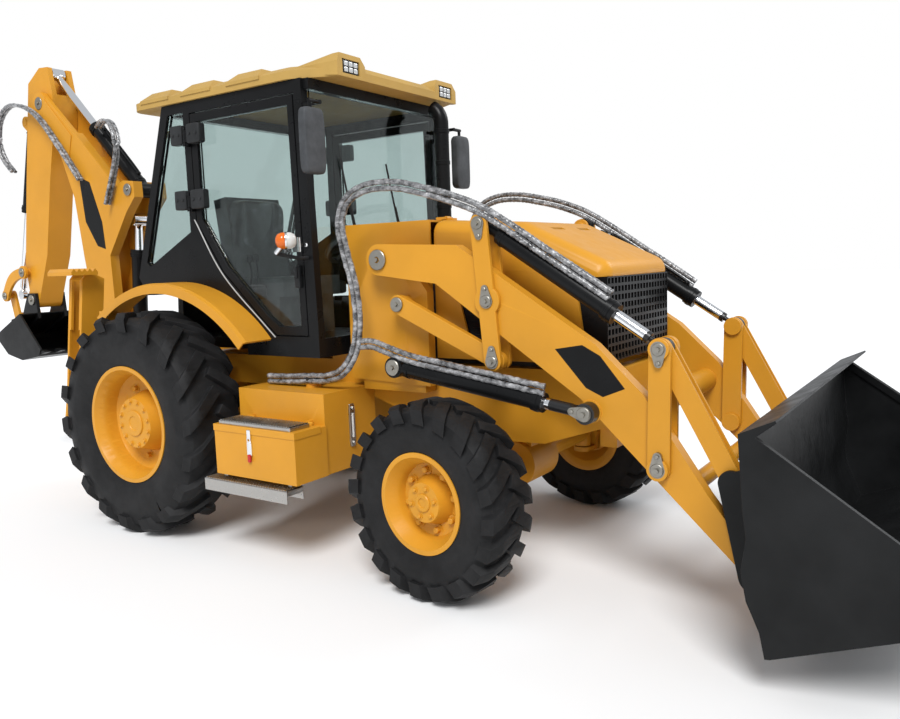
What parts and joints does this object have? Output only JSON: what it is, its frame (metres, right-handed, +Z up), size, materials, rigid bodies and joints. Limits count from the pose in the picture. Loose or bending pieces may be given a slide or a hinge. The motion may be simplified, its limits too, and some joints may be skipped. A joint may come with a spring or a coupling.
{
  "type": "backhoe loader",
  "caption": "Wheeled backhoe loader with a front bucket on parallel lift arms, glazed cab, swinging rear digging boom, stick and bucket, and folding stabiliser legs.",
  "frame": {"origin": "middle of the overall box, on the ground under the wheels", "axes": "+X forward to the loader bucket, +Y to the left, +Z up"},
  "size_m": [7.7382, 2.284, 3.403],
  "materials": {
    "black_paint": "satin",
    "cast_grey": "matte",
    "chrome_rod": "polished",
    "dark_plastic": "matte",
    "grey_steel": "satin",
    "lamp_lens": "gloss",
    "rubber": "matte",
    "tinted_glass": "clear",
    "yellow_paint": "gloss"
  },
  "bodies": {
    "chassis": {"chassis_frame": "yellow_paint", "engine": "cast_grey", "axles": "yellow_paint", "cab_frame": "black_paint", "cab_roof": "yellow_paint", "cab_glass": "tinted_glass", "cab_interior": "dark_plastic", "fenders": "yellow_paint", "side_boxes": "yellow_paint", "steps": "grey_steel", "lamps": "lamp_lens", "rear_frame": "yellow_paint"},
    "hood_body": {"hood": "yellow_paint", "grille": "black_paint"},
    "door_right_body": {"door_right": "black_paint", "door_right_glass": "tinted_glass"},
    "door_left_body": {"door_left": "black_paint", "door_left_glass": "tinted_glass"},
    "lid_body": {"tool_box_lid": "yellow_paint"},
    "knuckle_right_body": {"knuckle_right": "yellow_paint"},
    "knuckle_left_body": {"knuckle_left": "yellow_paint"},
    "front_wheel_right": {"tyre_front_right": "rubber", "rim_front_right": "yellow_paint"},
    "front_wheel_left": {"tyre_front_left": "rubber", "rim_front_left": "yellow_paint"},
    "rear_wheel_right": {"tyre_rear_right": "rubber", "rim_rear_right": "yellow_paint"},
    "rear_wheel_left": {"tyre_rear_left": "rubber", "rim_rear_left": "yellow_paint"},
    "arms": {"loader_arms": "yellow_paint"},
    "bucket": {"loader_bucket": "black_paint"},
    "leg_right": {"stabiliser_right": "yellow_paint"},
    "leg_left": {"stabiliser_left": "yellow_paint"},
    "lower_links_body": {"lower_links": "yellow_paint"},
    "mid_levers_body": {"mid_levers": "yellow_paint"},
    "tilt_barrels_body": {"tilt_barrels": "black_paint"},
    "tilt_rods_body": {"tilt_rods": "chrome_rod"},
    "lever_pins_body": {"lever_pins": "grey_steel"},
    "front_levers_body": {"front_levers": "yellow_paint"},
    "link_pins_body": {"link_pins": "grey_steel"},
    "bucket_links_body": {"bucket_links": "yellow_paint"},
    "bucket_pins_body": {"bucket_pins": "grey_steel"},
    "lift_barrels_body": {"lift_barrels": "black_paint"},
    "lift_rods_body": {"lift_rods": "chrome_rod"},
    "kingpost_body": {"kingpost": "yellow_paint"},
    "boom_body": {"boom": "yellow_paint"},
    "boom_barrel_body": {"boom_barrel": "black_paint"},
    "boom_rod_body": {"boom_rod": "chrome_rod"},
    "stick_body": {"stick": "yellow_paint"},
    "stick_barrel_body": {"stick_barrel": "black_paint"},
    "stick_rod_body": {"stick_rod": "chrome_rod"},
    "hoe_bucket_body": {"hoe_bucket": "black_paint"},
    "guide_links_body": {"guide_links": "yellow_paint"},
    "push_link_body": {"push_link": "yellow_paint"},
    "hoe_barrel_body": {"hoe_barrel": "black_paint"},
    "hoe_rod_body": {"hoe_rod": "chrome_rod"},
    "stab_barrel_right_body": {"stab_barrel_right": "black_paint"},
    "stab_barrel_left_body": {"stab_barrel_left": "black_paint"},
    "stab_rod_right_body": {"stab_rod_right": "chrome_rod"},
    "stab_rod_left_body": {"stab_rod_left": "chrome_rod"}
  },
  "joints": [
    {"name": "loader_lift", "type": "hinge", "parent": "chassis", "child": "arms", "pos_m": [0.9879, 0, 1.68], "axis": [0, -1, 0], "range_deg": [-3, 78]},
    {"name": "lower_link_turn", "type": "hinge", "parent": "chassis", "child": "lower_links_body", "pos_m": [1.0939, 0, 1.436], "axis": [0, -1, 0], "range_deg": [-3.31, 84.76]},
    {"name": "mid_lever_turn", "type": "hinge", "parent": "arms", "child": "mid_levers_body", "pos_m": [1.6859, 0, 1.456], "axis": [0, -1, 0], "range_deg": [-67.13, 2.63]},
    {"name": "tilt_barrel_turn", "type": "hinge", "parent": "mid_levers_body", "child": "tilt_barrels_body", "pos_m": [1.6479, 0, 1.84], "axis": [0, -1, 0], "range_deg": [-2.69, 68.69]},
    {"name": "lever_pin_turn", "type": "hinge", "parent": "arms", "child": "lever_pins_body", "pos_m": [2.5629, 0, 0.7], "axis": [0, -1, 0], "range_deg": [-46.54, 1.84]},
    {"name": "bucket_pin_turn", "type": "hinge", "parent": "arms", "child": "bucket_pins_body", "pos_m": [2.9799, 0, 0.27], "axis": [0, -1, 0], "range_deg": [-64.63, 2.53]},
    {"name": "bucket_tilt", "type": "hinge", "parent": "bucket_pins_body", "child": "bucket", "pos_m": [2.9799, 0, 0.27], "axis": [0, 1, 0], "range_deg": [-10, 80]},
    {"name": "front_lever_turn", "type": "hinge", "parent": "lever_pins_body", "child": "front_levers_body", "pos_m": [2.5629, 0, 0.7], "axis": [0, 1, 0], "range_deg": [-7.25, 57.65]},
    {"name": "link_pin_turn", "type": "hinge", "parent": "front_levers_body", "child": "link_pins_body", "pos_m": [2.5699, 0, 1.244], "axis": [0, -1, 0], "range_deg": [-1.74, 43.96]},
    {"name": "bucket_link_turn", "type": "hinge", "parent": "link_pins_body", "child": "bucket_links_body", "pos_m": [2.5699, 0, 1.244], "axis": [0, 1, 0], "range_deg": [-54.45, 6.85]},
    {"name": "lift_barrel_turn", "type": "hinge", "parent": "chassis", "child": "lift_barrels_body", "pos_m": [1.1179, 0, 1.103], "axis": [0, -1, 0], "range_deg": [-2.87, 73.25]},
    {"name": "lift_rod_slide", "type": "slide", "parent": "lift_barrels_body", "child": "lift_rods_body", "axis": [0.9887, 0, -0.1496], "range_m": [-0.0291, 0.7452]},
    {"name": "tilt_rod_slide", "type": "slide", "parent": "tilt_barrels_body", "child": "tilt_rods_body", "axis": [0.8398, 0, -0.5429], "range_m": [-0.066, 0.5242]},
    {"name": "steer_left", "type": "hinge", "parent": "chassis", "child": "knuckle_left_body", "pos_m": [1.5349, 0.772, 0.495], "axis": [0, 0, 1], "range_deg": [-24, 36]},
    {"name": "steer_right", "type": "hinge", "parent": "chassis", "child": "knuckle_right_body", "pos_m": [1.5349, -0.772, 0.495], "axis": [0, 0, 1], "range_deg": [-24.05, 36.05]},
    {"name": "front_wheel_left_spin", "type": "hinge", "parent": "knuckle_left_body", "child": "front_wheel_left", "pos_m": [1.54953, 0.91123, 0.495], "axis": [0.1045, 0.9945, 0], "continuous": true},
    {"name": "rear_wheel_left_spin", "type": "hinge", "parent": "chassis", "child": "rear_wheel_left", "pos_m": [-0.7321, 0.91, 0.705], "axis": [0, 1, 0], "continuous": true},
    {"name": "front_wheel_right_spin", "type": "hinge", "parent": "knuckle_right_body", "child": "front_wheel_right", "pos_m": [1.52027, -0.91123, 0.495], "axis": [0.1045, 0.9945, 0], "continuous": true},
    {"name": "rear_wheel_right_spin", "type": "hinge", "parent": "chassis", "child": "rear_wheel_right", "pos_m": [-0.7321, -0.91, 0.705], "axis": [0, 1, 0], "continuous": true},
    {"name": "door_right_swing", "type": "hinge", "parent": "chassis", "child": "door_right_body", "pos_m": [-0.4371, -0.706, 2], "axis": [0, 0, -1], "range_deg": [0, 85]},
    {"name": "door_left_swing", "type": "hinge", "parent": "chassis", "child": "door_left_body", "pos_m": [-0.4371, 0.706, 2], "axis": [0, 0, 1], "range_deg": [0, 85]},
    {"name": "hood_lift", "type": "hinge", "parent": "chassis", "child": "hood_body", "pos_m": [1.2249, 0, 1.897], "axis": [0, -1, 0], "range_deg": [0, 50]},
    {"name": "tool_box_lid_lift", "type": "hinge", "parent": "chassis", "child": "lid_body", "pos_m": [0.4329, -0.892, 0.794], "axis": [-1, 0, 0], "range_deg": [0, 75]},
    {"name": "hoe_swing", "type": "hinge", "parent": "chassis", "child": "kingpost_body", "pos_m": [-1.9621, 0, 0.74], "axis": [0, 0, 1], "range_deg": [-90, 90]},
    {"name": "boom_lower", "type": "hinge", "parent": "kingpost_body", "child": "boom_body", "pos_m": [-2.2521, 0, 0.85], "axis": [0, -1, 0], "range_deg": [0, 115]},
    {"name": "boom_barrel_turn", "type": "hinge", "parent": "kingpost_body", "child": "boom_barrel_body", "pos_m": [-2.0621, 0, 1.12], "axis": [0, -1, 0], "range_deg": [-0.05, 119.82]},
    {"name": "boom_rod_slide", "type": "slide", "parent": "boom_barrel_body", "child": "boom_rod_body", "axis": [0.083, 0, 0.9965], "range_m": [-0.0005, 0.5649]},
    {"name": "stick_out", "type": "hinge", "parent": "boom_body", "child": "stick_body", "pos_m": [-2.9921, 0, 3.1], "axis": [0, 1, 0], "range_deg": [0, 120]},
    {"name": "stick_barrel_turn", "type": "hinge", "parent": "boom_body", "child": "stick_barrel_body", "pos_m": [-1.8691, 0, 2.3], "axis": [0, 1, 0], "range_deg": [-5.89, 0.05]},
    {"name": "stick_rod_slide", "type": "slide", "parent": "stick_barrel_body", "child": "stick_rod_body", "axis": [-0.7186, 0, 0.6955], "range_m": [-0.4313, 0.0005]},
    {"name": "hoe_curl", "type": "hinge", "parent": "stick_body", "child": "hoe_bucket_body", "pos_m": [-3.4221, 0, 1.44], "axis": [0, -1, 0], "range_deg": [-100, 30]},
    {"name": "guide_link_turn", "type": "hinge", "parent": "stick_body", "child": "guide_links_body", "pos_m": [-3.4891, 0, 1.69], "axis": [0, -1, 0], "range_deg": [-103.05, 30.95]},
    {"name": "push_link_turn", "type": "hinge", "parent": "guide_links_body", "child": "push_link_body", "pos_m": [-3.8181, 0, 1.481], "axis": [0, -1, 0], "range_deg": [-29, 96.55]},
    {"name": "hoe_barrel_turn", "type": "hinge", "parent": "stick_body", "child": "hoe_barrel_body", "pos_m": [-3.3721, 0, 3], "axis": [0, -1, 0], "range_deg": [-5.51, 1.69]},
    {"name": "hoe_rod_slide", "type": "slide", "parent": "hoe_barrel_body", "child": "hoe_rod_body", "axis": [-0.2817, 0, -0.9595], "range_m": [-0.6122, 0.184]},
    {"name": "stabiliser_right_lower", "type": "hinge", "parent": "chassis", "child": "leg_right", "pos_m": [-1.6621, -0.8, 0.7], "axis": [1, 0, 0], "range_deg": [0, 145]},
    {"name": "stab_barrel_right_turn", "type": "hinge", "parent": "chassis", "child": "stab_barrel_right_body", "pos_m": [-1.6621, -0.545, 0.8], "axis": [1, 0, 0], "range_deg": [-0.05, 123.94]},
    {"name": "stab_rod_right_slide", "type": "slide", "parent": "stab_barrel_right_body", "child": "stab_rod_right_body", "axis": [0, -0.156, 0.9878], "range_m": [-0.0005, 0.4333]},
    {"name": "stabiliser_left_lower", "type": "hinge", "parent": "chassis", "child": "leg_left", "pos_m": [-1.6621, 0.8, 0.7], "axis": [-1, 0, 0], "range_deg": [0, 145]},
    {"name": "stab_barrel_left_turn", "type": "hinge", "parent": "chassis", "child": "stab_barrel_left_body", "pos_m": [-1.6621, 0.545, 0.8], "axis": [-1, 0, 0], "range_deg": [-0.05, 123.94]},
    {"name": "stab_rod_left_slide", "type": "slide", "parent": "stab_barrel_left_body", "child": "stab_rod_left_body", "axis": [0, 0.156, 0.9878], "range_m": [-0.0005, 0.4333]}
  ],
  "couplings": [
    {"joint": "lower_link_turn", "follows": "loader_lift", "ratio": 1.086},
    {"joint": "mid_lever_turn", "follows": "loader_lift", "ratio": -0.86},
    {"joint": "tilt_barrel_turn", "follows": "loader_lift", "ratio": 0.88},
    {"joint": "lever_pin_turn", "follows": "loader_lift", "ratio": -0.596},
    {"joint": "bucket_pin_turn", "follows": "loader_lift", "ratio": -0.828},
    {"joint": "front_lever_turn", "follows": "bucket_tilt", "ratio": 0.72},
    {"joint": "link_pin_turn", "follows": "loader_lift", "ratio": 0.563},
    {"joint": "bucket_link_turn", "follows": "bucket_tilt", "ratio": -0.68},
    {"joint": "lift_barrel_turn", "follows": "loader_lift", "ratio": 0.9385},
    {"joint": "lift_rod_slide", "follows": "loader_lift", "m_per_rad": 0.547},
    {"joint": "tilt_rod_slide", "follows": "bucket_tilt", "m_per_rad": 0.37506},
    {"joint": "steer_right", "follows": "steer_left", "ratio": 1},
    {"joint": "boom_barrel_turn", "follows": "boom_lower", "ratio": 1.0415},
    {"joint": "boom_rod_slide", "follows": "boom_lower", "m_per_rad": 0.2812},
    {"joint": "stick_barrel_turn", "follows": "stick_out", "ratio": -0.0487},
    {"joint": "stick_rod_slide", "follows": "stick_out", "m_per_rad": -0.2057},
    {"joint": "guide_link_turn", "follows": "hoe_curl", "ratio": 1.03},
    {"joint": "push_link_turn", "follows": "hoe_curl", "ratio": -0.965},
    {"joint": "hoe_barrel_turn", "follows": "hoe_curl", "ratio": 0.05463},
    {"joint": "hoe_rod_slide", "follows": "hoe_curl", "m_per_rad": 0.35046},
    {"joint": "stab_barrel_right_turn", "follows": "stabiliser_right_lower", "ratio": 0.8544},
    {"joint": "stab_rod_right_slide", "follows": "stabiliser_right_lower", "m_per_rad": 0.171},
    {"joint": "stab_barrel_left_turn", "follows": "stabiliser_left_lower", "ratio": 0.8544},
    {"joint": "stab_rod_left_slide", "follows": "stabiliser_left_lower", "m_per_rad": 0.171}
  ]
}
